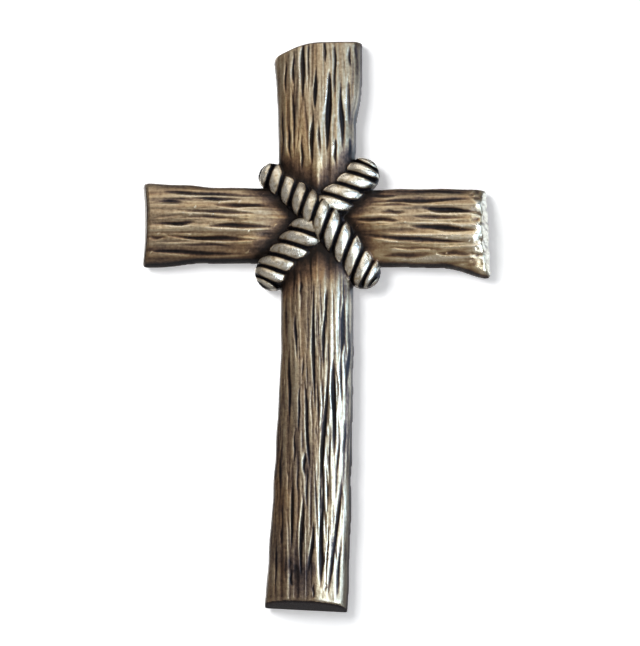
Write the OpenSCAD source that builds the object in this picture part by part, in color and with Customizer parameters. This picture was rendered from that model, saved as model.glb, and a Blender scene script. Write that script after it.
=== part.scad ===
// Grave cross cast in one piece: two rough-hewn timbers lashed together with
// a rope in a saltire. The front is a relief, the back is open, and two tapped
// bosses inside it take the studs that hold the cross to a headstone.
//
// X runs along the crossbeam, Z up the upright and -Y out of the front.
// The origin is in the back plane, midway between the two tapped holes, where
// the axes of the two timbers cross.

/* [Overall] */
// From the crossing to the top end
above = 98.5; // [85:0.5:130]
// From the crossing to the foot
below = 201.5; // [150:0.5:260]
// From the crossing to the end of the left arm
left_reach = 92; // [65:0.5:120]
// From the crossing to the end of the right arm
right_reach = 90.5; // [65:0.5:120]

/* [Timbers] */
// Half width of the upright above the lashing
upright_half = 20.5; // [17:0.5:25]
// Half width of the upright just below the lashing
lower_half = 19; // [16:0.5:23]
// Half height of the crossbeam beside the lashing
arm_half = 20.5; // [17:0.5:25]
// Depth of a timber along its crest
crown = 17; // [14:0.5:24]
// Depth of a timber at its edges, where the side wall ends
edge = 5; // [3.5:0.5:7]
// How far the upright's crest sinks under the lashing
upright_pinch = 2.5; // [0:0.5:4]
// How far the crossbeam's crest sinks, where the upright laps over it
beam_pinch = 4.5; // [1:0.5:6]
// How far the crossbeam falls from its left end to its right end
beam_fall = 3; // [0:0.5:6]
// Roundness of a timber's section: 2 is an ellipse
roundness = 2.3; // [1.8:0.1:3]

/* [Ends] */
// How far the foot spreads to the left
foot_spread = 8.5; // [0:0.5:12]
// How far the foot draws in on the right
foot_draw = 3; // [0:0.5:5]
// How far the foot's left corner stands above its right one
foot_slope = 2.5; // [0:0.5:6]
// Flare of the top end, on the left and on the right
top_flare = [2.6, 3.6]; // [0:0.2:6]
// How far the top end slopes down to the left
top_slope = 8.4; // [0:0.2:14]
// Flare of the left arm, on its lower and on its upper edge
left_flare = [2.6, 2.8]; // [0:0.2:6]
// How far the end of the left arm is hollowed
left_dish = 0.8; // [0:0.1:2]
// Flare of the right arm's lower edge
right_flare = 6.2; // [0:0.2:9]
// How far the right arm's upper corner falls short of its lower one
right_slope = 1.6; // [0:0.2:5]

/* [Gouges] */
// Gouged furrows side by side on a timber
furrows = 12; // [6:1:12]
// Depth of a furrow on the crest
furrow_depth = 1.4; // [0:0.1:1.8]
// Length of the longest furrow
furrow_length = 66; // [40:1:90]

/* [Rope] */
// Diameter of the rope
rope_d = 16.5; // [13:0.5:19]
// Strands in the rope
strands = 3; // [3:1:4]
// Length of one full turn of a strand
lay = 25; // [20:0.5:34]
// Depth of the grooves between strands
strand_groove = 1.8; // [0.5:0.1:2.4]
// How far the upper rope bows up to the right
bow = 3; // [0:0.5:5]
// How far a rope's end stands out past the corner between the timbers
corner_reach = 4; // [2.5:0.5:6]
// Depth of the upper rope's axis where the ropes cross
over_depth = 17.5; // [15:0.5:22]
// Depth of the lower rope's axis where the ropes cross
under_depth = 13; // [11:0.5:17]
// Depth of both ropes' axes at the corners
corner_depth = 6; // [4:0.5:9]

/* [Casting] */
// Thickness of the cast wall
wall = 4.5; // [3.5:0.25:6]
// Draft of the side walls, in degrees
side_draft = 4; // [1:0.5:8]
// Draft of the end faces, in degrees
end_draft = 11; // [2:0.5:15]

/* [Fixing] */
// Distance between the two tapped holes
stud_spacing = 150; // [130:1:180]
// Bore of a tapped hole: 5 is the core diameter of M6
tap_d = 5; // [4.2:0.1:6.8]
// Depth of a tapped hole
tap_depth = 11; // [8:0.5:12]
// Diameter of a boss
boss_d = 14; // [12:0.5:18]

/* [Hidden] */

bronze = [0.45, 0.37, 0.22];

skirt = 2;         // how far the solids run past the back plane, before it trims them
proud = 4;         // how far the cutters run past it
step = 6;          // spacing of the rings along a timber
hollow_step = 12;  // spacing of the rings along a hollow
hollow_points = 8; // spans across a hollow's arch
end_zone = 22;     // length over which an end's draft and slope fade in
spread_start = 55; // distance below the crossing where the foot starts to spread
beam_drop = [2, 0.7];      // how much lower the beam's lower and upper edges lie on the right
furrow_start = [30, 44];   // where the furrows fade in beside the lashing
slope_start = -0.2;        // the top end slopes from here to the left edge, as t

rope_r = rope_d / 2;
rope_step = 2.4;   // spacing of the rings along a rope
arc_points = 16;   // spans round the front of a rope
nose_tip = 0.05;   // size of a rope's last ring, against the full one

// Where each rope starts and ends, as [x, z]
upper_left = [-upright_half, arm_half] + corner_reach * [-0.7, 1.4];
upper_right = [upright_half, arm_half] + corner_reach * [0.85, 1.5];
lower_left = [-lower_half, -arm_half] + corner_reach * [-1, -1];
lower_right = [lower_half, -arm_half] + corner_reach * [1.3, -0.95];

// ---- curves ----

// 0 before a, 1 after b, and a smooth rise between them
function ease(a, b, v) = let (u = min(1, max(0, (v - a) / (b - a)))) u * u * (3 - 2 * u);

// Depth of a timber's section: t runs from -1 at one edge to 1 at the other
function arch(t, low, high) =
    low + (high - low) * pow(max(0, 1 - pow(abs(t), roundness)), 1 / roundness);

// Crest depth of a timber at a distance from the crossing
function crest(s, pinch) = crown - pinch * (1 - ease(8, 40, abs(s)));

// ---- outlines of the timbers, as [low side, high side] ----

function upright_edges(z) = let (
    half = lower_half + (upright_half - lower_half) * ease(-45, 30, z),
    foot = max(0, -z - spread_start) / (below - spread_start)
) [
    -half - top_flare[0] * ease(above - 41, above - 6, z) - foot_spread * pow(foot, 1.3),
    half + top_flare[1] * ease(above - 50, above - 18, z) - foot_draw * pow(foot, 1.5)
];

function arm_edges(x) = let (
    dropped = ease(-30, 30, x),
    fallen = beam_fall * x / (left_reach + right_reach)
) [
    1 - arm_half - beam_drop[0] * dropped - left_flare[0] * ease(left_reach - 37, left_reach - 6, -x)
        - right_flare * ease(right_reach - 27, right_reach, x) - fallen,
    arm_half - beam_drop[1] * dropped + left_flare[1] * ease(left_reach - 47, left_reach, -x) - fallen
];

// How far each end falls short of its full reach, for t across the timber
function top_drop(t) = top_slope * max(0, slope_start - t) / (1 + slope_start);
function foot_drop(t) = foot_slope * (1 - t) / 2;
function left_drop(t) = left_dish * (1 - t * t);
function right_drop(t) = right_slope * (1 + t) / 2;

// ---- furrows ----

// How deep furrow k is at s along the timber, from 0 to 1. A furrow is a row
// of long gouges that taper at both ends, out of step with its neighbours.
function furrow(k, s) = let (
    length = furrow_length * (0.55 + 0.45 * abs(sin(137 * k))),
    u = s / length + 0.41 * k,
    part = u - floor(u)
) pow(sin(180 * min(1, part / 0.86)), 0.7);

// Depth cut at point i of a section: the odd points lie in furrows
function cut(i, s, t) = i % 2 == 0 ? 0 : let (
    clear = ease(furrow_start[0], furrow_start[1], abs(s))
) furrow_depth * furrow((i - 1) / 2, s) * (1 - pow(abs(t), 4)) * clear;

// ---- lofts ----

// Triangles that join closed rings of n points and cap both ends. The caps
// are fans from the last point of a ring, the middle of its back.
function loft_faces(rings, n, flip) = let (
    sides = [for (r = [0:rings - 2], i = [0:n - 1]) let (
        a = r * n + i,
        b = r * n + (i + 1) % n
    ) each [[a, b, b + n], [a, b + n, a + n]]],
    last = (rings - 1) * n,
    caps = [for (i = [0:n - 3]) each [[n - 1, i + 1, i], [last + n - 1, last + i, last + i + 1]]]
) [for (f = concat(sides, caps)) flip ? [f[2], f[1], f[0]] : f];

module loft(rings, flip = false)
    polyhedron([for (r = rings) each r], loft_faces(len(rings), len(rings[0]), flip), convexity = 10);

// Evenly spaced stations from one end to the other
function stations(from, to, gap) = let (
    n = ceil((to - from) / gap)
) [for (i = [0:n]) from + (to - from) * i / n];

// ---- timbers ----

// One ring of a timber, as [across, depth, t]: a foot, the points of the arch,
// the other foot and the middle of the back. A hollow is inset by the wall.
function timber_section(edges, s, pinch, inset) = let (
    solid = inset == 0,
    spans = solid ? 2 * furrows : hollow_points,
    middle = (edges[0] + edges[1]) / 2,
    half = (edges[1] - edges[0]) / 2 - inset,
    back = solid ? skirt : proud,
    slant = solid ? tan(side_draft) : 0
) concat(
    [[middle - half - back * slant, -back, -1]],
    [for (i = [0:spans]) let (
        t = sin(180 * i / spans - 90),
        depth = arch(t, edge, crest(s, pinch)) - inset
    ) [middle + (half - edge * slant) * t, solid ? depth - cut(i, s, t) : depth, t]],
    [[middle + half + back * slant, -back, 1], [middle, -back, 0]]
);

// Where a point lies along the timber: the ends lean back by their draft and
// fall short by their drop, and both fade out away from the end
function along(s, low, high, depth, low_drop, high_drop) = let (
    at_high = ease(high - end_zone, high, s),
    at_low = ease(-low - end_zone, -low, -s),
    lean = depth * tan(end_draft)
) s - at_high * (high_drop + lean) + at_low * (low_drop + lean);

// The upright: its full outer form, or its hollow when inset is the wall
module upright(inset = 0) {
    low = inset - below;
    high = above - inset;
    loft([for (s = stations(low, high, inset > 0 ? hollow_step : step))
        [for (p = timber_section(upright_edges(s), s, upright_pinch, inset))
            [p[0], -p[1], along(s, low, high, p[1], foot_drop(p[2]), top_drop(p[2]))]]], flip = true);
}

// The crossbeam, in the same way
module crossbeam(inset = 0) {
    low = inset - left_reach;
    high = right_reach - inset;
    loft([for (s = stations(low, high, inset > 0 ? hollow_step : step))
        [for (p = timber_section(arm_edges(s), s, beam_pinch, inset))
            [along(s, low, high, p[1], left_drop(p[2]), right_drop(p[2])), -p[1], p[0]]]]);
}

// ---- ropes ----

// Where a rope from one corner to the opposite one lies, as [x, z, depth], for
// u from -1 to 1
function rope_at(u, from, to, rise, middle_depth) = let (
    run = (to - from) / norm(to - from),
    across = [-run[1], run[0]] * rise * cos(90 * u)
) concat(
    (from + to) / 2 + (to - from) / 2 * u + across,
    corner_depth + (middle_depth - corner_depth) * (1 - ease(0, 1, abs(u)))
);

// Radius of a rope's front at an angle round it and a distance along it
function strand_radius(angle, s) = let (
    within = abs(sin(strands * (angle + 360 * s / lay) / 2))
) rope_r - strand_groove * pow(1 - within, 1.6);

// A rope over the crossing, with its ends rounded off past the corners. Each
// ring is an arch of strands on two straight sides that run into the back.
module rope(from, to, rise, middle_depth) {
    total = norm(to - from);
    count = ceil(total / rope_step);
    nose = ceil(1.4 * rope_r / rope_step);
    path = [for (i = [0:count]) rope_at(2 * i / count - 1, from, to, rise, middle_depth)];
    loft([for (i = [-nose:count + nose]) let (
        k = min(count, max(0, i)),
        past = abs(i - k) / nose,
        near = path[max(0, k - 1)],
        far = path[min(count, k + 1)],
        run = [far[0] - near[0], far[1] - near[1]],
        dir = run / norm(run),
        ahead = sin(90 * past) * rope_r * (i < 0 ? -1 : 1),
        size = max(nose_tip, cos(90 * past)),
        centre = [path[k][0], path[k][1]] + dir * ahead,
        front = [for (j = [0:arc_points]) let (
            angle = 180 * j / arc_points - 90,
            r = strand_radius(angle, total * k / count + ahead) * size
        ) [r * sin(angle), path[k][2] + r * cos(angle)]],
        ring = concat([[front[0][0], -skirt]], front, [[front[arc_points][0], -skirt], [0, -skirt]])
    ) [for (p = ring) [centre[0] - dir[1] * p[0], -p[1], centre[1] + dir[0] * p[0]]]]);
}

module upper_rope() rope(upper_left, lower_right, bow, over_depth);

module lower_rope() rope(lower_left, upper_right, 0, under_depth);

// ---- back ----

// A boss round a tapped hole, from behind the back plane into the front wall
module boss(z)
    translate([0, skirt, z]) rotate([90, 0, 0]) cylinder(d = boss_d, h = skirt + crown - wall / 2, $fn = 32);

module tapped_hole(z)
    translate([0, proud, z]) rotate([90, 0, 0]) cylinder(d = tap_d, h = proud + tap_depth, $fn = 64);

// Everything behind the back plane, which trims the casting flat
module behind_back_plane()
    translate([-left_reach - proud, 0, -below - proud])
        cube([left_reach + right_reach + 2 * proud, proud, above + below + 2 * proud]);

// ---- the casting ----

module cross()
    color(bronze)
    difference() {
        // resize() to no new size draws the relief and its hollow as one mesh
        resize([0, 0, 0]) union() {
            difference() {
                union() {
                    upright();
                    crossbeam();
                    upper_rope();
                    lower_rope();
                }
                upright(wall);
                crossbeam(wall);
            }
            for (side = [-1, 1]) boss(side * stud_spacing / 2);
        }
        behind_back_plane();
        for (side = [-1, 1]) tapped_hole(side * stud_spacing / 2);
    }

cross();
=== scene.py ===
"""The looks of a cast grave cross: two rough-hewn timbers lashed with a rope.

The casting is sculpted as maps of depth over the back plane, in millimetres: x
across, z up, and depth out of the front. The maps give one solid, with its open
back and its two tapped bosses, and the metal's colour follows its relief.
"""
import math

import bpy
import numpy as np
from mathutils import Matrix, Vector


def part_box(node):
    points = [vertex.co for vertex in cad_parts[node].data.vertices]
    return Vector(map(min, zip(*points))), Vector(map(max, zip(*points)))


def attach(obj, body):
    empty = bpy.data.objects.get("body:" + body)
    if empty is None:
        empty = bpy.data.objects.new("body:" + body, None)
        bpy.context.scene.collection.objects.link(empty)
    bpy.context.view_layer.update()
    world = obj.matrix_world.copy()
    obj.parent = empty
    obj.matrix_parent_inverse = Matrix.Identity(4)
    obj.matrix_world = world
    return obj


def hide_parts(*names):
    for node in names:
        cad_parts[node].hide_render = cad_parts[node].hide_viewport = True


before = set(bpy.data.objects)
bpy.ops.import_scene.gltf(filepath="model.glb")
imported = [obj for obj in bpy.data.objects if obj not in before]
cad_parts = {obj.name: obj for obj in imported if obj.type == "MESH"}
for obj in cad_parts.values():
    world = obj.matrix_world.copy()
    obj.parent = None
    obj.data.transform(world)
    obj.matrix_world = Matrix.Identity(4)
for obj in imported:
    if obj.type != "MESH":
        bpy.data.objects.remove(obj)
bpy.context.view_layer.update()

MM = 0.001
node_low, node_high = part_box("cross")
LEFT, RIGHT = -node_low[0] / MM, node_high[0] / MM
BELOW, ABOVE = -node_low[2] / MM, node_high[2] / MM

# ---- the CAD part's driving sizes, in millimetres ----
CROWN, EDGE, ROUNDNESS = 17.0, 5.0, 2.3
UPRIGHT_HALF, LOWER_HALF, ARM_HALF = 20.5, 19.0, 20.5
UPRIGHT_PINCH, BEAM_PINCH = 2.5, 4.5
SIDE_SLANT, END_SLANT = math.tan(math.radians(4)), math.tan(math.radians(11))
BEAM_FALL, BEAM_DROP, LOW_EDGE_RISE = 3.0, (2.0, 0.7), 1
SPREAD_START, FOOT_SPREAD, FOOT_DRAW, FOOT_SLOPE = 55, 8.5, 3.0, 2.5
TOP_FLARE, LEFT_FLARE, RIGHT_FLARE = (2.6, 3.6), (2.6, 2.8), 6.2
RIGHT_SLOPE = 1.6
WALL = 4.5
STUD_HEIGHT, TAP_R, TAP_DEPTH, BOSS_R = 75.0, 2.5, 11.0, 7.0
ROPE_R, ROPE_LAY, STRANDS = 8.25, 25.0, 3
BOW, OVER_DEPTH, UNDER_DEPTH, CORNER_DEPTH = 3.0, 17.5, 13.0, 6.0
CORNER_REACH = 4.0
UPPER_LEFT = (-UPRIGHT_HALF - 0.7 * CORNER_REACH, ARM_HALF + 1.4 * CORNER_REACH)
UPPER_RIGHT = (UPRIGHT_HALF + 0.85 * CORNER_REACH, ARM_HALF + 1.5 * CORNER_REACH)
LOWER_LEFT = (-LOWER_HALF - CORNER_REACH, -ARM_HALF - CORNER_REACH)
LOWER_RIGHT = (LOWER_HALF + 1.3 * CORNER_REACH, -ARM_HALF - 0.95 * CORNER_REACH)

# ---- sizes in which the look differs from the plainer CAD ----
TOP_SLOPE, SLOPE_START, SLOPE_ROUNDING = 8.0, -0.22, 3.6
LEFT_DISH, RIGHT_SHORTFALL = 1.2, 0.35
STRAND_GROOVE = 3.4
UPPER_SWELL, LOWER_SWELL = (0.88, 1.10), (1.12, 1.08)   # a rope's size at its start and its end

# ---- the grid of the maps ----
CELL = 0.40
DEPTH_CELL = 0.45
MARGIN = 2.0
EMPTY = -40.0         # height where there is nothing
TRIANGLES = 190000    # of the finished skin
x_axis = np.arange(-LEFT - MARGIN, RIGHT + MARGIN, CELL)
z_axis = np.arange(-BELOW - MARGIN, ABOVE + MARGIN, CELL)
X, Z = np.meshgrid(x_axis, z_axis, indexing="ij")


# ---- helpers over arrays ----

def ease(a, b, v):
    """0 before a, 1 after b, and a smooth rise between them."""
    u = np.clip((v - a) / (b - a), 0, 1)
    return u * u * (3 - 2 * u)


def noise(u, v, seed):
    """Smooth noise from -1 to 1, with one random value per unit square."""
    size = 256
    table = np.random.default_rng(seed).uniform(-1, 1, (size, size))
    iu, iv = np.floor(u).astype(int), np.floor(v).astype(int)
    fu, fv = ease(0, 1, u - iu), ease(0, 1, v - iv)
    iu, iv, ju, jv = iu % size, iv % size, (iu + 1) % size, (iv + 1) % size
    low = table[iu, iv] * (1 - fu) + table[ju, iv] * fu
    high = table[iu, jv] * (1 - fu) + table[ju, jv] * fu
    return low * (1 - fv) + high * fv


def mixed(a, b, amount):
    return a + (b - a) * amount


def soft_min(a, b, radius):
    """The lower of two, with the corner between them rounded."""
    return np.minimum(a, b) - np.maximum(radius - np.abs(a - b), 0) ** 2 / (4 * radius)


def blur(values, sigma):
    """Gaussian blur over the grid, with sigma in millimetres."""
    fx = np.fft.fftfreq(values.shape[0], CELL)[:, None]
    fz = np.fft.rfftfreq(values.shape[1], CELL)[None, :]
    damp = np.exp(-2 * (math.pi * sigma) ** 2 * (fx ** 2 + fz ** 2))
    return np.fft.irfft2(np.fft.rfft2(values) * damp, values.shape)


def spot(x, z, across, along):
    """A soft spot on the grid: 1 at its middle, fading over two radii."""
    return np.exp(-((X - x) / across) ** 2 - ((Z - z) / along) ** 2)


def arch(t, low, high):
    """A timber's section, for t from -1 at one edge to 1 at the other."""
    return low + (high - low) * np.maximum(0, 1 - np.abs(t) ** ROUNDNESS) ** (1 / ROUNDNESS)


# ---- outlines of the timbers ----

def upright_edges(z):
    half = LOWER_HALF + (UPRIGHT_HALF - LOWER_HALF) * ease(-45, 30, z)
    foot = np.maximum(0, -z - SPREAD_START) / (BELOW - SPREAD_START)
    left = -half - TOP_FLARE[0] * ease(ABOVE - 41, ABOVE - 6, z) - FOOT_SPREAD * foot ** 1.3
    right = half + TOP_FLARE[1] * ease(ABOVE - 50, ABOVE - 18, z) - FOOT_DRAW * foot ** 1.5
    return left, right


def arm_edges(x):
    dropped = ease(-30, 30, x)
    fallen = BEAM_FALL * x / (LEFT + RIGHT)
    low = LOW_EDGE_RISE - ARM_HALF - BEAM_DROP[0] * dropped
    low = low - LEFT_FLARE[0] * ease(LEFT - 37, LEFT - 6, -x) - RIGHT_FLARE * ease(RIGHT - 27, RIGHT, x)
    high = ARM_HALF - BEAM_DROP[1] * dropped + LEFT_FLARE[1] * ease(LEFT - 47, LEFT, -x)
    return low - fallen, high - fallen


def upright_ends(t):
    """Where the upright ends at its foot and its top, across its width."""
    sloped = TOP_SLOPE * (t - SLOPE_START) / (1 + SLOPE_START)
    return -BELOW + FOOT_SLOPE * (1 - t) / 2, ABOVE + soft_min(0.0, sloped, SLOPE_ROUNDING)


def arm_ends(t):
    """Where the arms end at the left and the right, across their height."""
    return -LEFT + LEFT_DISH * (1 - t * t), RIGHT - RIGHT_SLOPE * (1 + t) / 2


# ---- gouges: (across at start, across at end, start, end, width, depth) ----

SIDE_SHIFT, RISE_SHIFT = 0.087, 0.156   # how far a point's place moves with its depth, as seen
RISE_LEAN, RISE_SCALE = 0.014, 0.988    # how its height changes with its x, and shrinks
GOUGE_SHARE = 0.54                      # half of a gouge's cut, over its listed width
TIMBER_HALF = 21

UPPER_GOUGES = [
    (-7.5, -7.5, 96, 63, 2.4, 1.5), (-0.7, -1.2, 84, 61, 2.0, 1.3), (-2.6, -3.2, 62, 32, 2.2, 1.4),
    (6.2, 4.5, 82, 38, 3.0, 1.9), (11.8, 13.2, 78, 41, 2.3, 1.5), (-12.5, -12.8, 93, 74, 1.6, 1.0),
    (-13.2, -12.0, 73, 36, 1.5, 1.0), (-16.5, -16.8, 89, 69, 1.6, 1.0), (-14.8, -14.3, 56, 35, 1.8, 1.1),
    (-18.5, -18.3, 62, 35, 1.5, 0.9), (4.0, 4.6, 98, 84, 1.4, 0.8), (9.4, 9.6, 46, 31, 1.6, 1.0),
    (17.0, 17.5, 96, 83, 1.5, 0.9), (21.0, 20.4, 98, 87, 1.5, 0.8), (17.0, 16.4, 47, 35, 1.6, 1.0),
    (20.0, 19.4, 64, 49, 1.5, 0.9), (-8.6, -8.2, 49, 29, 1.6, 1.0), (9.0, 8.4, 95, 66, 1.4, 0.8),
    (15.6, 16.2, 80, 52, 1.6, 0.9), (-4.6, -5.2, 97, 70, 1.4, 0.8), (0.9, 1.6, 58, 36, 1.4, 0.9),
]
LOWER_GOUGES = [
    (-2.3, -1.5, -26, -97, 1.8, 1.2), (5.3, 2.5, -29, -73, 1.8, 1.3), (13.4, 12.0, -33, -68, 2.6, 1.7),
    (17.0, 13.8, -51, -90, 2.0, 1.4), (-11.5, -10.5, -44, -69, 1.6, 1.0),
    (-14.5, -14.2, -60, -103, 1.9, 1.3),
    (-8.5, -8.8, -27, -36, 1.5, 0.8), (-16.0, -16.4, -37, -61, 1.4, 0.7), (5.7, 0.8, -67, -137, 2.5, 1.7),
    (8.0, 8.7, -67, -122, 2.7, 1.9), (13.9, 13.2, -98, -120, 1.9, 1.3), (-6.8, -4.3, -75, -126, 1.8, 1.2),
    (-9.0, -9.4, -81, -109, 1.2, 0.8), (-11.5, -11.9, -102, -124, 1.2, 0.8),
    (-12.3, -13.5, -124, -166, 2.0, 1.3),
    (-6.5, -6.4, -116, -129, 1.5, 0.9), (5.5, 5.1, -105, -126, 1.2, 0.8), (17.5, 16.4, -84, -161, 1.4, 0.9),
    (12.7, 4.7, -124, -191, 2.3, 1.5), (3.3, 1.3, -132, -186, 2.4, 1.6), (-6.7, -8.6, -132, -179, 2.2, 1.5),
    (-2.0, -4.5, -151, -176, 2.0, 1.3), (-13.3, -13.0, -175, -185, 1.4, 0.8),
    (-18.5, -18.8, -154, -164, 1.4, 0.8),
    (-20.5, -20.9, -159, -191, 1.3, 0.8), (-2.0, -2.2, -182, -192, 1.3, 0.7),
    (12.0, 9.3, -156, -191, 1.7, 1.1),
    (14.5, 14.2, -159, -174, 1.5, 0.9), (4.0, 3.8, -181, -187, 1.4, 0.7),
    (-18.2, -19.0, -110, -150, 1.5, 0.9),
]
LEFT_GOUGES = [
    (18.0, 16.2, -80, -29, 1.6, 1.0), (12.8, 13.0, -86, -70, 1.6, 0.9), (11.5, 11.2, -55, -25, 1.8, 1.1),
    (9.0, 7.0, -77, -32, 1.7, 1.0), (2.0, 2.4, -87, -63, 1.7, 1.1), (0.5, 0.2, -58, -23, 2.0, 1.3),
    (-4.5, -6.3, -80, -32, 2.1, 1.3), (-5.0, -5.2, -90, -79, 1.5, 0.7), (-12.5, -14.0, -89, -35, 1.7, 1.1),
    (5.2, 4.2, -72, -40, 1.3, 0.7), (-9.2, -9.6, -74, -44, 1.3, 0.7), (15.2, 14.0, -66, -38, 1.3, 0.7),
]
RIGHT_GOUGES = [
    (18.5, 17.5, 37, 80, 1.5, 0.9), (16.5, 16.3, 23, 43, 1.5, 0.9), (13.0, 14.2, 19, 81, 1.5, 1.0),
    (9.5, 8.0, 53, 82, 2.3, 1.4), (7.4, 7.2, 30, 46, 1.5, 0.8), (5.0, 4.0, 49, 79, 1.6, 0.8),
    (4.0, 3.0, 17, 42, 1.9, 1.1), (0.5, -2.0, 47, 83, 2.4, 1.4), (-4.0, -8.0, 21, 79, 2.0, 1.2),
    (-14.5, -14.3, 32, 61, 2.0, 1.2), (-13.7, -14.2, 61, 83, 1.9, 1.1), (-18.5, -18.9, 61, 79, 1.4, 0.8),
    (-10.6, -11.4, 36, 66, 1.4, 0.8), (11.2, 11.0, 27, 50, 1.3, 0.7),
]


def carve(cuts, across, along, line, spread, rng):
    """Cuts one tapering gouge into a map laid out as [across, along]."""
    c0, c1, s0, s1, width, deep = line
    rows = np.flatnonzero((across > min(c0, c1) - 2 * width) & (across < max(c0, c1) + 2 * width))
    cols = np.flatnonzero((along > min(s0, s1)) & (along < max(s0, s1)))
    if not len(rows) or not len(cols):
        return
    u = (along[cols] - s0) / (s1 - s0)
    wander = rng.uniform(-0.5, 0.5) * np.sin(math.pi * u)
    wander = wander + 0.2 * np.sin(rng.uniform(5, 12) * u + rng.uniform(0, 6))
    centre = c0 + (c1 - c0) * u + wander
    taper = np.sin(math.pi * u ** rng.uniform(0.7, 1.4)) ** 0.75
    swell = 1 + 0.18 * np.sin(rng.uniform(4, 14) * u + rng.uniform(0, 6))
    half = GOUGE_SHARE * spread * width * taper ** 0.8 * swell + 1e-3
    off = np.abs(across[rows][:, None] - centre[None, :]) / half[None, :]
    groove = deep * taper[None, :] * np.clip(1 - off ** 2, 0, 1) ** 1.4
    patch = np.ix_(rows, cols)
    cuts[patch] = np.maximum(cuts[patch], groove)


def carve_all(across, along, lines, spread, seed):
    rng = np.random.default_rng(seed)
    cuts = np.zeros((len(across), len(along)))
    for line in lines:
        carve(cuts, across, along, line, spread, rng)
    return cuts


def fine_gouges(count, across, along, length, width, deep, seed):
    """Short gouges strewn over a stretch of a timber; each argument after the
    count is a range."""
    rng = np.random.default_rng(seed)
    lines = []
    for _ in range(count):
        c, start, run = rng.uniform(*across), rng.uniform(*along), rng.uniform(*length)
        lean = rng.normal(0, 0.035) * run
        lines.append((c, c + lean, start, start + run, rng.uniform(*width), rng.uniform(*deep)))
    return lines


def nick_lines(count, across, along, seed):
    """Short burrs that lean across the grain."""
    rng = np.random.default_rng(seed)
    lines = []
    for _ in range(count):
        c, s, run = rng.uniform(*across), rng.uniform(*along), rng.uniform(1.5, 3.2)
        lines.append((c, c + run * rng.uniform(0.5, 1.1), s, s + run, 0.75, rng.uniform(0.2, 0.5)))
    return lines


def seated(lines, up):
    """The lists give each gouge's place as seen a little from the right and
    from below; this moves it to its place on the relief."""
    moved = []
    for c0, c1, s0, s1, width, deep in lines:
        both = []
        for c, s in ((c0, s0), (c1, s1)):
            depth = arch(min(1, abs(c) / TIMBER_HALF), EDGE, CROWN)
            x, z = (c, s) if up else (s, c)
            rise = (z - RISE_SHIFT * depth - RISE_LEAN * x) / RISE_SCALE
            both.append((x + SIDE_SHIFT * depth, rise))
        (xa, za), (xb, zb) = both
        moved.append((xa, xb, za, zb, width, deep) if up else (za, zb, xa, xb, width, deep))
    return moved


# ---- ropes ----

TURN_DOWN, BEND_RADIUS = 6.0, 14.6   # a rope's end bends down over its last length


def rope_map(start, finish, rise, over, phase, swell):
    """Height of a rope over the grid, how far inside its outline each point is,
    and how deep it lies in the grooves between the strands, from 0 to 1."""
    start, finish = np.array(start), np.array(finish)
    run = finish - start
    total = np.hypot(*run)
    ahead = run / total
    side = np.array([-ahead[1], ahead[0]])
    rel_x, rel_z = X - start[0], Z - start[1]
    along = rel_x * ahead[0] + rel_z * ahead[1]
    bowed = rise * np.sin(math.pi * np.clip(along / total, 0, 1))
    across = rel_x * side[0] + rel_z * side[1] - bowed
    past = np.maximum(0, np.maximum(-along, along - total))
    radial = np.hypot(across, past)
    u = np.abs(2 * along / total - 1)
    spine = CORNER_DEPTH + (over - CORNER_DEPTH) * (1 - ease(0, 1, u))
    size = ROPE_R * mixed(swell[0], swell[1], np.clip(along / total, 0, 1))
    angle = np.arcsin(np.clip(across / size, -1, 1))
    # the bend draws the strands closer together in plan
    from_middle = along - total / 2
    bent = np.clip((np.abs(from_middle) - total / 2 + TURN_DOWN) / BEND_RADIUS, 0, 1)
    length = from_middle + np.sign(from_middle) * BEND_RADIUS * (np.arcsin(bent) - bent)
    turn = STRANDS * (angle / (2 * math.pi) + length / ROPE_LAY) + phase
    apart = 2 * np.abs(turn - np.round(turn))
    groove = 1 - np.sqrt(np.clip(1 - (1 - apart) ** 2.5, 0, 1))
    radius = size - STRAND_GROOVE * groove
    top = spine + np.sqrt(np.maximum(0, radius ** 2 - radial ** 2))
    top = np.where(radial < size, top, EMPTY)
    return top, size - radial, 1 - apart


SIDE_WOBBLE, WOBBLE_LENGTH = 0.35, 11


def timber(across, along, edges, pinch):
    """Section of a timber over the grid: t, distance in from its side, depth of
    its smooth surface, and the same two of its hollow."""
    low, high = edges
    low = low + SIDE_WOBBLE * noise(along / WOBBLE_LENGTH, np.zeros_like(along), 41)
    high = high + SIDE_WOBBLE * noise(along / WOBBLE_LENGTH, np.zeros_like(along), 42)
    mid, half = (low + high) / 2, (high - low) / 2
    t = (across - mid) / (half - EDGE * SIDE_SLANT)
    sunk = pinch * (1 - ease(8, 40, np.abs(along)))
    hole_half = half - WALL
    hole = arch((across - mid) / hole_half, EDGE, CROWN - sunk) - WALL
    off = np.abs(across - mid)
    return t, half - off, arch(t, EDGE, CROWN - sunk), hole, hole_half - off


def wood(base, t, cuts, along, across, ends, rope_side, sink, seed):
    """A timber's carved surface: broad lumps, long grain, pits and gouges."""
    plates = ease(-0.16, 0.16, noise(across / 3.0, along / 95, seed)) - 0.5
    strips = ease(-0.20, 0.20, noise(across / 1.45, along / 70, seed + 1)) - 0.5
    grain = 0.42 * plates + 0.24 * strips
    lumps = 0.45 * noise(across / 6, along / 36, seed + 2)
    lumps = lumps + 0.06 * noise(across / 2.2, along / 5, seed + 3)
    pits = 0.14 * ease(0.5, 0.85, noise(across / 0.8, along / 1.5, seed + 4))
    fade = 1 - np.clip(np.abs(t), 0, 1) ** 6
    clear = ease(0.5, 7.0, -rope_side)
    at_end = ease(0.5, 6.0, ends)
    moat = sink * (1 - ease(-1.0, 12.0, -rope_side))
    relief = (grain * at_end + lumps) * (0.35 + 0.65 * clear)
    relief = relief - (cuts + pits) * clear * (0.1 + 0.9 * at_end)
    return base - moat + relief * fade


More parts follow.
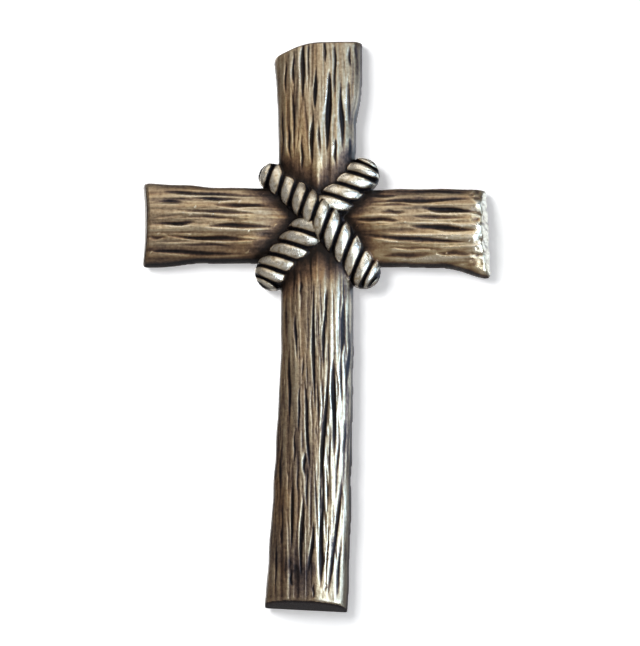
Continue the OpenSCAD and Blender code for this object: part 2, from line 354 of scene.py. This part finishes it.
UPRIGHT_CUT, ARM_CUT = 1.1, 1.6     # how wide the gouges are cut, over their listed width
UPRIGHT_MOAT, ARM_MOAT = 0.8, 1.5   # how far the wood sinks beside the ropes
LIP_DROP, DENT, CHIPS = 5.0, 1.0, 0.45


def build_maps():
    """Every map of the relief, by name."""
    t_up, side_up, base_up, hole_up, hole_up_side = timber(X, Z, upright_edges(Z), UPRIGHT_PINCH)
    t_arm, side_arm, base_arm, hole_arm, hole_arm_side = timber(Z, X, arm_edges(X), BEAM_PINCH)
    foot, top = upright_ends(np.clip(t_up, -1, 1))
    left, right = arm_ends(np.clip(t_arm, -1, 1))
    ends_up = np.minimum(Z - foot, top - Z)
    ragged = 0.30 * noise(Z / 2.6, X / 9, 51) + 0.15 * noise(Z / 1.1, X / 5, 52)
    ragged = ragged * ease(70, 84, X) * (1 - ease(0.85, 1, np.abs(t_arm)))
    ends_arm = np.minimum(X - left, right - X - RIGHT_SHORTFALL + ragged)

    upper = rope_map(UPPER_LEFT, LOWER_RIGHT, BOW, OVER_DEPTH, 0.30, UPPER_SWELL)
    lower = rope_map(LOWER_LEFT, UPPER_RIGHT, 0.0, UNDER_DEPTH, 0.06, LOWER_SWELL)
    rope_side = np.maximum(upper[1], lower[1])

    fine_up = (fine_gouges(30, (-22, 22), (22, 74), (20, 50), (0.7, 1.3), (0.15, 0.40), 61)
               + fine_gouges(120, (-22, 17), (-190, -40), (14, 46), (0.5, 1.1), (0.2, 0.6), 62)
               + fine_gouges(46, (2, 18), (-190, -60), (16, 50), (0.8, 1.4), (0.5, 1.1), 66))
    fine_arm = (fine_gouges(22, (-20, 21), (-86, -40), (10, 30), (0.6, 1.3), (0.10, 0.30), 63)
                + fine_gouges(26, (-22, 19), (18, 62), (10, 28), (0.6, 1.3), (0.10, 0.30), 64))
    lines_up = seated(UPPER_GOUGES + LOWER_GOUGES, True) + fine_up
    lines_arm = seated(LEFT_GOUGES + RIGHT_GOUGES, False) + fine_arm
    cuts_up = carve_all(x_axis, z_axis, lines_up, UPRIGHT_CUT, 11)
    cuts_arm = carve_all(z_axis, x_axis, lines_arm, ARM_CUT, 12).T
    nicks = carve_all(z_axis, x_axis, nick_lines(34, (-18, 20), (-88, 86), 65), 1.0, 13).T
    h_up = wood(base_up, t_up, cuts_up, Z, X, ends_up, rope_side, UPRIGHT_MOAT, 21)
    h_arm = wood(base_arm, t_arm, cuts_arm, X, Z, ends_arm, rope_side, ARM_MOAT, 31)
    # the right end: a lip that turns down, with a dent above its lower corner
    lip = ease(81.5, 91.5, X + 2.6 * noise(Z / 4.6, X / 9, 53) + 1.2 * noise(Z / 1.9, X / 4, 54))
    chips = noise(Z / 1.5, X / 1.9, 55) * ease(81, 85, X)
    dent = spot(81.5, -24, 4.2, 4.8)
    h_arm = h_arm - LIP_DROP * lip - DENT * dent + CHIPS * chips + nicks
    return {
        "t_up": t_up, "side_up": side_up, "ends_up": ends_up,
        "t_arm": t_arm, "side_arm": side_arm, "ends_arm": ends_arm,
        "h_up": np.where(side_up > 0, h_up, EMPTY), "h_arm": np.where(side_arm > 0, h_arm, EMPTY),
        "hole_up": hole_up, "hole_up_side": np.minimum(hole_up_side, ends_up - WALL),
        "hole_arm": hole_arm, "hole_arm_side": np.minimum(hole_arm_side, ends_arm - WALL),
        "upper": upper, "lower": lower, "cuts_up": cuts_up, "cuts_arm": cuts_arm,
        "dent": dent, "nicks": nicks,
    }


def steepness(h):
    """Turns a difference in depth into a distance from the surface."""
    gx, gz = np.gradient(np.clip(h, 0, 40), CELL)
    return 1 / np.sqrt(1 + np.minimum(gx ** 2 + gz ** 2, 9))


FILLET, ROPE_RIM, HOLLOW_RIM, BACK_RIM = 2.4, 0.4, 2.0, 0.9


def build_field(maps, depths):
    """Distance inside the casting over the grid, positive in the metal."""
    field = np.empty((len(x_axis), len(depths), len(z_axis)), np.float32)
    boss = np.full_like(X, -99.0)
    for z in (-STUD_HEIGHT, STUD_HEIGHT):
        boss = np.maximum(boss, BOSS_R - np.hypot(X, Z - z))
    k_up, k_arm = steepness(maps["h_up"]), steepness(maps["h_arm"])
    k_upper, k_lower = steepness(maps["upper"][0]), steepness(maps["lower"][0])
    corner = 1.6 + 1.6 * ease(60, 90, Z) + 1.4 * ease(60, 85, np.abs(X))
    rim_up = 1.4 + 1.6 * ease(-150, -185, Z) + 0.8 * ease(70, 95, Z)
    rim_arm = 1.4 + 1.8 * ease(-60, -84, X)
    for j, d in enumerate(depths):
        round_up = soft_min(maps["side_up"] - d * SIDE_SLANT, maps["ends_up"] - d * END_SLANT, corner)
        round_arm = soft_min(maps["side_arm"] - d * SIDE_SLANT, maps["ends_arm"] - d * END_SLANT, corner)
        up = soft_min((maps["h_up"] - d) * k_up, round_up, rim_up)
        arm = soft_min((maps["h_arm"] - d) * k_arm, round_arm, rim_arm)
        one = soft_min((maps["upper"][0] - d) * k_upper, maps["upper"][1], ROPE_RIM)
        two = soft_min((maps["lower"][0] - d) * k_lower, maps["lower"][1], ROPE_RIM)
        solid = -soft_min(-np.maximum(up, arm), -np.maximum(one, two), FILLET)
        hollow = np.maximum(
            soft_min(maps["hole_up"] - d, maps["hole_up_side"], HOLLOW_RIM),
            soft_min(maps["hole_arm"] - d, maps["hole_arm_side"], HOLLOW_RIM))
        hollow = np.minimum(hollow, -boss)
        solid = np.minimum(solid, -hollow)
        bore = np.minimum(boss - (BOSS_R - TAP_R), TAP_DEPTH - d)
        solid = np.minimum(solid, -bore)
        field[:, j, :] = soft_min(solid, d, BACK_RIM)
    return field


def surface_nets(field, origin, spacing):
    """A closed surface of four-sided faces where the field crosses zero."""
    inside = field > 0
    count = np.zeros(tuple(n - 1 for n in field.shape), np.uint8)
    corners = [np.array((a, b, c)) for a in (0, 1) for b in (0, 1) for c in (0, 1)]
    for a, b, c in corners:
        count += inside[a:a + count.shape[0], b:b + count.shape[1], c:c + count.shape[2]]
    active = (count > 0) & (count < 8)
    cells = np.argwhere(active)
    index = np.full(count.shape, -1, np.int32)
    index[active] = np.arange(len(cells))
    at = [field[tuple((cells + k).T)] for k in corners]
    total = np.zeros((len(cells), 3))
    hits = np.zeros(len(cells))
    for m, a in enumerate(corners):
        for n, b in enumerate(corners):
            if n > m and np.abs(b - a).sum() == 1:
                crossed = (at[m] > 0) != (at[n] > 0)
                share = np.where(crossed, at[m] / np.where(crossed, at[m] - at[n], 1), 0)
                total += crossed[:, None] * (a + share[:, None] * (b - a))
                hits += crossed
    points = (cells + total / hits[:, None]) * spacing + origin
    faces = []
    for axis in range(3):
        u, v = [np.eye(3, dtype=int)[(axis + k) % 3] for k in (1, 2)]
        low = np.moveaxis(inside, axis, 0)
        change = np.moveaxis(low[1:] != low[:-1], 0, axis)
        edges = np.argwhere(change)
        ok = np.all((edges - u - v >= 0) & (edges < np.array(count.shape)), axis=1)
        edges = edges[ok]
        quad = np.stack([index[tuple((edges - k).T)] for k in (0 * u, u, u + v, v)], axis=1)
        rising = ~inside[tuple(edges.T)]
        quad[rising] = quad[rising][:, ::-1]
        faces.append(quad)
    return points, np.concatenate(faces)


def make_mesh(name, points, faces):
    mesh = bpy.data.meshes.new(name)
    mesh.vertices.add(len(points))
    mesh.vertices.foreach_set("co", points.astype(np.float32).ravel())
    sides = faces.shape[1]
    mesh.loops.add(faces.size)
    mesh.loops.foreach_set("vertex_index", faces.astype(np.int32).ravel())
    mesh.polygons.add(len(faces))
    mesh.polygons.foreach_set("loop_start", np.arange(0, faces.size, sides, dtype=np.int32))
    mesh.update(calc_edges=True)
    mesh.validate()
    return mesh


def sample(values, x, z):
    """Reads a map between its grid points."""
    fx = np.clip((x - x_axis[0]) / CELL, 0, len(x_axis) - 1.001)
    fz = np.clip((z - z_axis[0]) / CELL, 0, len(z_axis) - 1.001)
    i, j = fx.astype(int), fz.astype(int)
    u, v = fx - i, fz - j
    low = values[i, j] * (1 - u) + values[i + 1, j] * u
    high = values[i, j + 1] * (1 - u) + values[i + 1, j + 1] * u
    return low * (1 - v) + high * v


# ---- the skin ----

def front_of(maps):
    """Height of the front, over wood and ropes together."""
    wood_top = np.maximum(maps["h_up"], maps["h_arm"])
    return np.maximum(wood_top, np.maximum(maps["upper"][0], maps["lower"][0]))


BEHIND, DEEPEST = -1.0, 27.5   # the span of depths that the field covers
PULL = 0.9                     # how far points are drawn to the front's true height


def build_skin(maps):
    depths = np.arange(BEHIND, DEEPEST, DEPTH_CELL)
    field = build_field(maps, depths)
    origin = np.array([x_axis[0], depths[0], z_axis[0]])
    points, faces = surface_nets(field, origin, np.array([CELL, DEPTH_CELL, CELL]))
    x, depth, z = points.T
    top = front_of(maps)
    height = sample(top, x, z)
    flat = sample(steepness(top), x, z)
    within_up = np.minimum(maps["side_up"], maps["ends_up"])
    within_arm = np.minimum(maps["side_arm"], maps["ends_arm"])
    inside = sample(np.maximum(within_up, within_arm), x, z)
    near = (np.abs(height - depth) < 0.5) & (flat > 0.55) & (inside > 3.0) & (depth > 5)
    points[near, 1] += PULL * (height - depth)[near]
    mesh = make_mesh("cross_skin", points * np.array([1, -1, 1]) * MM, faces)
    skin = bpy.data.objects.new("cross_skin", mesh)
    bpy.context.scene.collection.objects.link(skin)
    thin = skin.modifiers.new("thin", "DECIMATE")
    thin.ratio = TRIANGLES / (2 * len(faces))
    graph = bpy.context.evaluated_depsgraph_get()
    small = bpy.data.meshes.new_from_object(skin.evaluated_get(graph))
    skin.modifiers.clear()
    skin.data = small
    small.shade_smooth()
    return skin


# ---- the patina, with painted light and shade ----

FLAT_WORN = 0.67      # wear of plain wood, from 0 in the dark to 1 where it is bright
ROPE_WORN = 0.98      # wear of a strand's crest
CUT_DARK = 0.62       # how much a deep gouge takes from it
LASHING_DARK = 0.46   # how much the ropes take from the wood beside them
PAINTED_SLOPE_LIGHT = 0.24         # how much painted light the side of a ridge facing the light gains, and painted shade the other side loses
DUSK = 0.40           # how much the dark patch above the foot takes
TONGUE = 0.27         # how much the dull patch just below the lashing takes
GROOVE_DARK = 0.92    # how much the grooves between strands take
ROPE_BROWN = 0.12
# painted glints: small bright spots on the upright's top, each with its radius
GLINT_SPOTS = [
    (16, 64, 1.0), (14.2, 68, 0.8), (10.5, 56, 0.7),
    (11.5, 51.5, 0.7), (12, 84, 0.7), (17.5, 75, 0.7),
]


def above_mean(top, sigma):
    """How far the front stands above the mean of the metal around it."""
    mask = (top > 0.5).astype(float)
    return top - blur(top * mask, sigma) / np.maximum(blur(mask, sigma), 0.02)


def relief_wear_and_shading(maps, on_arm, rope_side, patch):
    """Wear from the relief alone: bright crests and dark recesses, and painted light and shade on the sides
    of its ridges.
    """
    top = np.maximum(front_of(maps), 0)
    mask = (top > 0.5).astype(float)
    wood_top = np.maximum(maps["h_up"], maps["h_arm"])
    cuts = np.where(on_arm, maps["cuts_arm"], maps["cuts_up"])
    wear_and_shading = FLAT_WORN + 0.50 * np.clip(above_mean(top, 0.8), -0.6, 0.5)
    wear_and_shading = wear_and_shading + 0.20 * np.clip(above_mean(top, 2.6), -1.5, 1) + 0.06 * patch
    wear_and_shading = wear_and_shading + 0.09 * np.where(on_arm, noise(Z / 1.9, X / 26, 77), noise(X / 1.9, Z / 26, 77))
    wear_and_shading = wear_and_shading - CUT_DARK * np.clip(cuts / 1.5, 0, 1) ** np.where(on_arm, 1.7, 1.25)
    # painted light and shade: the side of a ridge that faces the light is painted brighter, the side turned
    # away darker
    detail = blur(wood_top * mask, 0.4) - blur(wood_top * mask, 2.2)
    slope_x, slope_z = np.gradient(detail, CELL)
    slope_light_and_shade = np.clip(np.where(on_arm, slope_z, slope_x), -0.8, 0.8)
    wear_and_shading = wear_and_shading - PAINTED_SLOPE_LIGHT * slope_light_and_shade * ease(1.0, 4.0, -rope_side)
    return wear_and_shading - LASHING_DARK * (1 - ease(0.0, 12.0, -rope_side)) ** 1.4


def place_wear_and_shading(maps, on_arm, on_up, t, under):
    """What each place on the timbers adds to the wear, or takes from it, with painted shade and painted
    highlights among it.
    """
    on_lower = on_up & (Z < -25)
    # painted shade on the left arm's underside, and a little painted light on the right arm's underside
    wear_and_shading = -0.33 * on_arm * under * (X < 0) + 0.04 * on_arm * under * (X > 0)
    # painted shade on the upright's left side, more on the lower limb and towards the foot
    wear_and_shading = wear_and_shading - on_up * 0.11 * ease(0.45, 1.0, -t) - on_lower * 0.05 * ease(-0.2, 0.3, -t)
    wear_and_shading = wear_and_shading - on_lower * (0.09 + 0.11 * ease(-60, -170, Z)) * ease(-0.50, -0.05, -t)
    # painted shade on the arms' upper side, more on the right arm
    wear_and_shading = wear_and_shading - (0.10 + 0.08 * (X > 0)) * on_arm * ease(0.0, 0.8, t)
    wear_and_shading = wear_and_shading - DUSK * spot(-9, -181, 9, 7) * on_lower * (0.7 + 0.6 * noise(X / 2.5, Z / 4, 74))
    wear_and_shading = wear_and_shading + 0.30 * np.clip(maps["nicks"] / 0.4, 0, 1) * on_arm - 0.28 * maps["dent"]
    # painted highlight along the right end of the crossbeam
    wear_and_shading = wear_and_shading + 0.22 * on_arm * ease(82, 86, X + 2.0 * noise(Z / 3.1, X / 9, 75))
    wear_and_shading = wear_and_shading - 0.04 * on_up * (Z > 25) - TONGUE * spot(1, -20, 9, 9) * on_up
    # painted highlight beside the lower right end of the rope, on the arm and on the upright
    wear_and_shading = wear_and_shading + 0.55 * spot(31, -19, 5, 7) * on_arm + 0.42 * spot(16, -29, 5, 7) * on_up
    # painted glints on the upright's top
    for x, z, radius in GLINT_SPOTS:
        wear_and_shading = wear_and_shading + 0.5 * spot(x, z, radius, radius)
    return wear_and_shading


def wood_brown(on_arm, on_up, t, under, rope_side, patch):
    """How brown the wood is, against khaki."""
    on_lower = on_up & (Z < -25)
    tints = np.where(on_arm, noise(Z / 3.2, X / 30, 78), noise(X / 3.2, Z / 30, 78))
    brown = on_arm * (0.52 + 0.3 * under) + on_up * (0.12 + 0.15 * (Z > 25) + 0.40 * ease(0.2, 1.0, -t))
    brown = brown + spot(1, -20, 9, 9) * on_up + 0.4 * (1 - ease(1, 14, -rope_side))
    brown = brown + 0.08 * on_lower * ease(-0.1, 0.3, -t) + 0.20 * patch + 0.45 * tints
    return brown + 0.5 * spot(-7, 45, 6, 22) * on_up


def rope_wear_and_highlight(upper, lower, patch):
    """Wear of the ropes: pitted crests, and black grooves that widen at the ends, with a painted highlight
    at the lower right end.
    """
    over = upper[0] >= lower[0]
    strand = np.where(over, upper[2], lower[2])
    strand_side = np.where(over, upper[1], lower[1])
    wide = np.where(over, 0.0, 0.05)
    tip = 0.30 * (1 - ease(0.0, 3.5, strand_side))
    pitted = 0.22 * ease(0.2, 0.8, noise(X / 1.1, Z / 1.1, 73))
    wear_and_shading = ROPE_WORN + 0.08 * patch - pitted - 0.12 * ease(0.2, 0.6, strand)
    # the last term is a painted highlight at the rope's lower right end
    return wear_and_shading - GROOVE_DARK * ease(0.56, 0.80, strand + tip - wide) + 0.5 * spot(31, -19, 5, 7)


def tone_map(maps):
    """How bright the front is from wear and painted light and shade, how brown, and where it is the
    crossbeam's.
    """
    upper, lower = maps["upper"], maps["lower"]
    rope_side = np.maximum(upper[1], lower[1])
    on_rope = np.maximum(upper[0], lower[0]) > np.maximum(maps["h_up"], maps["h_arm"]) + 0.2
    on_arm = (maps["h_arm"] > maps["h_up"]) & ~on_rope
    on_up = ~on_arm & ~on_rope
    t = np.where(on_arm, maps["t_arm"], maps["t_up"])
    under = ease(0.25, 0.95, -t)
    patch = noise(X / 9, Z / 14, 71) + 0.8 * noise(X / 3, Z / 5, 72)
    wear_and_shading = relief_wear_and_shading(maps, on_arm, rope_side, patch) + place_wear_and_shading(maps, on_arm, on_up, t, under)
    wear_and_shading = np.where(on_rope, rope_wear_and_highlight(upper, lower, patch), wear_and_shading)
    brown = np.where(on_rope, ROPE_BROWN, wood_brown(on_arm, on_up, t, under, rope_side, patch))
    return wear_and_shading, np.clip(brown, 0, 1), on_arm


# wear of the side walls, painted shade on the foot's and the left arm's end faces, and wear of the back
SIDE_WORN, FOOT_END_SHADE, LEFT_END_SHADE, BACK_WORN = 0.30, 0.16, 0.26, 0.36


def paint(skin, maps):
    """Stores the wear with the painted light and shade, the brown and the run of the grain at each vertex.
    """
    mesh = skin.data
    co = np.empty(len(mesh.vertices) * 3, np.float32)
    mesh.vertices.foreach_get("co", co)
    co = co.reshape(-1, 3) / MM
    x, d, z = co[:, 0], -co[:, 1], co[:, 2]
    wear_and_shading, brown, on_arm = tone_map(maps)
    front = ease(2.5, 7.0, d)
    value = mixed(SIDE_WORN, sample(wear_and_shading, x, z), front)
    tint = mixed(0.4, sample(brown, x, z), front)
    # the end faces: painted shade at the foot and on the left, a painted highlight with dark chip strokes
    # on the right
    off_foot = sample(maps["ends_up"], x, z) - d * END_SLANT
    at_foot = (z < -150) & (off_foot < 0.7)
    off_arm = sample(maps["ends_arm"], x, z) - d * END_SLANT
    at_left = (x < -60) & (off_arm < 0.5)
    at_right = (x > 60) & (off_arm < 0.7)
    lit_end_with_chips = 0.86 - 0.40 * ease(0.2, 0.7, noise(z / 1.8, d / 3.5, 76))
    value = np.where(at_foot, FOOT_END_SHADE, np.where(at_left, LEFT_END_SHADE, np.where(at_right, lit_end_with_chips, value)))
    # a painted highlight along the rounded rim just above the foot's end face
    lit_foot_rim = (z < -150) & (off_foot > 0.7) & (off_foot < 2.2) & (d > 6)
    value = np.where(lit_foot_rim, value + 0.10, value)
    hollow = sample(np.maximum(maps["hole_up"], maps["hole_arm"]), x, z) > d - 0.8
    hollow &= sample(np.maximum(maps["hole_up_side"], maps["hole_arm_side"]), x, z) > -0.6
    hidden = (hollow & (d < 15)) | (d < 0.3)
    value = np.where(hidden, BACK_WORN, value)
    tint = np.where(hidden, 0.5, tint)
    for name, data in (("wear_and_shading", value), ("brown", tint), ("arm", sample(on_arm.astype(float), x, z))):
        layer = mesh.attributes.new(name, "FLOAT", "POINT")
        layer.data.foreach_set("value", np.clip(data, 0, 1).astype(np.float32))


# ---- material ----

def add(tree, kind, **values):
    node = tree.nodes.new(kind)
    for key, value in values.items():
        setattr(node, key, value)
    return node


def ramp_of(tree, stops):
    node = add(tree, "ShaderNodeValToRGB")
    elements = node.color_ramp.elements
    for element, (position, value) in zip(elements, (stops[0], stops[-1])):
        element.position, element.color = position, (*value, 1)
    for position, value in stops[1:-1]:
        elements.new(position).color = (*value, 1)
    return node


def noise_of(tree, vector, scale, detail, stretch=(1, 1, 1)):
    """Noise in the object's own space, drawn out along an axis by a small stretch."""
    turn = add(tree, "ShaderNodeMapping")
    turn.inputs["Scale"].default_value = stretch
    tree.links.new(vector, turn.inputs["Vector"])
    node = add(tree, "ShaderNodeTexNoise")
    node.inputs["Scale"].default_value = scale
    node.inputs["Detail"].default_value = detail
    tree.links.new(turn.outputs["Vector"], node.inputs["Vector"])
    return node.outputs["Fac"]


def maths(tree, operation, a, b, c=None):
    """A sum over numbers or sockets."""
    node = add(tree, "ShaderNodeMath", operation=operation)
    for socket, value in zip(node.inputs, (a, b, c)):
        if isinstance(value, (int, float)):
            socket.default_value = value
        elif value is not None:
            tree.links.new(value, socket)
    return node.outputs[0]


def blended(tree, amount, a, b):
    node = add(tree, "ShaderNodeMix", data_type="RGBA")
    tree.links.new(amount, node.inputs["Factor"])
    tree.links.new(a, node.inputs["A"])
    tree.links.new(b, node.inputs["B"])
    return node.outputs["Result"]


KHAKI = [(0.0, (0.008, 0.007, 0.009)), (0.22, (0.031, 0.022, 0.022)), (0.42, (0.115, 0.078, 0.058)),
         (0.62, (0.285, 0.217, 0.138)), (0.80, (0.435, 0.362, 0.255)), (1.0, (0.650, 0.600, 0.510))]
BROWN = [(0.0, (0.010, 0.006, 0.004)), (0.22, (0.038, 0.021, 0.013)), (0.42, (0.112, 0.063, 0.037)),
         (0.62, (0.235, 0.140, 0.072)), (0.80, (0.380, 0.272, 0.146)), (1.0, (0.550, 0.440, 0.285))]


SPECK, STREAK, GRIT = 600, 900, 1500   # scales of the noises, per metre
ALONG_UP, ALONG_ARM = (1, 1, 0.06), (0.06, 1, 1)


def bronze():
    """Antique bronze: black-brown in the recesses and brushed pale on the ridges."""
    material = bpy.data.materials.new("antique_bronze")
    material.use_nodes = True
    tree = material.node_tree
    link = tree.links.new
    shader = tree.nodes["Principled BSDF"]
    wear_and_shading = add(tree, "ShaderNodeAttribute", attribute_name="wear_and_shading").outputs["Fac"]
    brown = add(tree, "ShaderNodeAttribute", attribute_name="brown").outputs["Fac"]
    arm = add(tree, "ShaderNodeAttribute", attribute_name="arm").outputs["Fac"]
    place = add(tree, "ShaderNodeTexCoord").outputs["Object"]
    speck = noise_of(tree, place, SPECK, 4)
    along_up = noise_of(tree, place, STREAK, 3, ALONG_UP)
    along_arm = noise_of(tree, place, STREAK, 3, ALONG_ARM)
    pick = add(tree, "ShaderNodeMix", data_type="FLOAT")
    link(arm, pick.inputs["Factor"])
    link(along_up, pick.inputs["A"])
    link(along_arm, pick.inputs["B"])
    streak = pick.outputs["Result"]
    tone = maths(tree, "MULTIPLY_ADD", speck, 0.40, maths(tree, "SUBTRACT", wear_and_shading, 0.20))
    tone = maths(tree, "MULTIPLY_ADD", streak, 0.20, maths(tree, "SUBTRACT", tone, 0.10))
    khaki, dark = ramp_of(tree, KHAKI), ramp_of(tree, BROWN)
    link(tone, khaki.inputs["Fac"])
    link(tone, dark.inputs["Fac"])
    link(blended(tree, brown, khaki.outputs["Color"], dark.outputs["Color"]), shader.inputs["Base Color"])
    rough = add(tree, "ShaderNodeMapRange")
    link(tone, rough.inputs["Value"])
    rough.inputs["To Min"].default_value = 0.50
    rough.inputs["To Max"].default_value = 0.27
    link(rough.outputs[0], shader.inputs["Roughness"])
    shader.inputs["Metallic"].default_value = 0.78
    grit = noise_of(tree, place, GRIT, 3)
    height = maths(tree, "MULTIPLY_ADD", streak, 0.8, grit)
    bump = add(tree, "ShaderNodeBump")
    bump.inputs["Strength"].default_value = 0.45
    bump.inputs["Distance"].default_value = 0.0004
    link(height, bump.inputs["Height"])
    link(bump.outputs["Normal"], shader.inputs["Normal"])
    return material


def plain(name, value):
    material = bpy.data.materials.new(name)
    material.use_nodes = True
    shader = material.node_tree.nodes["Principled BSDF"]
    shader.inputs["Base Color"].default_value = (*value, 1)
    shader.inputs["Roughness"].default_value = 0.8
    return material


# ---- stage ----

STAGE_SIZE, WALL_GAP, FLOOR_LEVEL = 8, 0.004, -0.62


def sheet(name, centre, size, turn, material):
    bpy.ops.mesh.primitive_plane_add(size=size, location=centre, rotation=turn)
    obj = bpy.context.object
    obj.name = name
    obj.data.materials.append(material)
    return obj


def look_at(obj, target):
    obj.rotation_euler = (Vector(target) - obj.location).to_track_quat("-Z", "Y").to_euler()


AZIMUTH, ELEVATION, DISTANCE = math.radians(5), math.radians(-9), 2.0
VIEW_WIDTH = 0.3372
AIM_RIGHT, AIM_DOWN = 0.0013, 0.0499
SENSOR = 36


def add_camera():
    right = Vector((math.cos(AZIMUTH), math.sin(AZIMUTH), 0))
    level = Vector((math.sin(AZIMUTH), -math.cos(AZIMUTH), 0))
    towards = level * math.cos(ELEVATION) + Vector((0, 0, math.sin(ELEVATION)))
    up = towards.cross(right)
    target = right * AIM_RIGHT - up * AIM_DOWN
    data = bpy.data.cameras.new("camera")
    data.sensor_width = SENSOR
    data.lens = data.sensor_width * DISTANCE / VIEW_WIDTH
    data.clip_end = 50
    camera = bpy.data.objects.new("camera", data)
    camera.location = target + towards * DISTANCE
    bpy.context.scene.collection.objects.link(camera)
    look_at(camera, target)
    bpy.context.scene.camera = camera


def softbox(name, place, size, radiance, target, colour=(1, 1, 1), shadows=False):
    """A soft lamp. One that casts the shadows on the wall isn't mirrored in the
    metal, and the others light only what mirrors them."""
    data = bpy.data.lights.new(name, "AREA")
    data.shape = "RECTANGLE"
    data.size, data.size_y = size
    data.energy = radiance * math.pi * size[0] * size[1]
    data.color = colour
    lamp = bpy.data.objects.new(name, data)
    lamp.location = place
    lamp.visible_camera = False
    lamp.visible_diffuse = shadows
    lamp.visible_glossy = not shadows
    bpy.context.scene.collection.objects.link(lamp)
    look_at(lamp, target)


def add_world():
    world = bpy.data.worlds.new("studio")
    bpy.context.scene.world = world
    world.use_nodes = True
    tree = world.node_tree
    tree.nodes.clear()
    out = add(tree, "ShaderNodeOutputWorld")
    seen = add(tree, "ShaderNodeBackground")
    seen.inputs["Color"].default_value = (1, 1, 1, 1)
    fill = add(tree, "ShaderNodeBackground")
    fill.inputs["Color"].default_value = (0.92, 0.94, 1.0, 1)
    fill.inputs["Strength"].default_value = 0.22
    mix = add(tree, "ShaderNodeMixShader")
    path = add(tree, "ShaderNodeLightPath")
    tree.links.new(path.outputs["Is Camera Ray"], mix.inputs[0])
    tree.links.new(fill.outputs[0], mix.inputs[1])
    tree.links.new(seen.outputs[0], mix.inputs[2])
    tree.links.new(mix.outputs[0], out.inputs["Surface"])


def one_sided(name, value, glow):
    """Pale stage material that shows from the front only."""
    material = plain(name, value)
    tree = material.node_tree
    shader = tree.nodes["Principled BSDF"]
    shader.inputs["Emission Color"].default_value = (1, 1, 1, 1)
    shader.inputs["Emission Strength"].default_value = glow
    side = add(tree, "ShaderNodeNewGeometry")
    clear = add(tree, "ShaderNodeBsdfTransparent")
    mix = add(tree, "ShaderNodeMixShader")
    tree.links.new(side.outputs["Backfacing"], mix.inputs[0])
    tree.links.new(shader.outputs[0], mix.inputs[1])
    tree.links.new(clear.outputs[0], mix.inputs[2])
    tree.links.new(mix.outputs[0], tree.nodes["Material Output"].inputs["Surface"])
    return material


def add_stage():
    wall_look = one_sided("backdrop", (0.9, 0.9, 0.9), 0.36)
    wall = sheet("backdrop", (0, WALL_GAP, 0), STAGE_SIZE, (math.pi / 2, 0, 0), wall_look)
    wall.visible_diffuse = wall.visible_glossy = wall.visible_shadow = wall.visible_transmission = False
    floor_look = one_sided("floor", (0.7, 0.7, 0.7), 0.0)
    sheet("floor", (0, 0, FLOOR_LEVEL), STAGE_SIZE, (0, 0, 0), floor_look)


def add_lamps():
    warm, cool, blue = (1.0, 0.98, 0.92), (0.74, 0.88, 1.0), (0.44, 0.67, 1.0)
    # name, place, size, radiance, target, colour
    softbox("front", (-0.05, -1.0, 0.52), (1.1, 0.85), 1.4, (0, 0, 0.1), warm)
    softbox("above", (-0.05, -0.42, 0.88), (1.0, 0.60), 1.5, (0, 0, 0), warm)
    softbox("right_front", (0.42, -0.70, -0.05), (0.50, 0.26), 5.6, (0, 0, -0.05), cool)
    softbox("right_side", (0.52, -0.14, -0.15), (0.46, 0.50), 7.6, (0, 0, -0.10), blue)
    softbox("right_middle", (0.50, -0.44, -0.10), (0.22, 0.22), 3.0, (0.02, 0, -0.05), cool)
    softbox("right_below", (0.42, -0.20, -0.38), (0.30, 0.24), 8.0, (0.02, 0, -0.02), cool)
    softbox("right_above", (0.45, -0.28, 0.50), (0.30, 0.25), 6.0, (0, 0, 0), cool)
    softbox("right_behind", (0.32, 0.38, 0.07), (0.17, 0.22), 4.0, (0.09, 0, 0), cool)
    softbox("behind", (-0.30, 1.2, 0.25), (1.0, 0.9), 3.0, (0, 0, 0), warm)
    softbox("shade", (-0.56, -1.1, 0.34), (0.54, 0.54), 17.5, (0, 0, -0.05), shadows=True)


maps = build_maps()
skin = build_skin(maps)
paint(skin, maps)
skin.data.materials.append(bronze())
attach(skin, "root")
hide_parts("cross")
add_stage()
add_camera()
add_world()
add_lamps()
bpy.context.scene.view_settings.view_transform = "Standard"
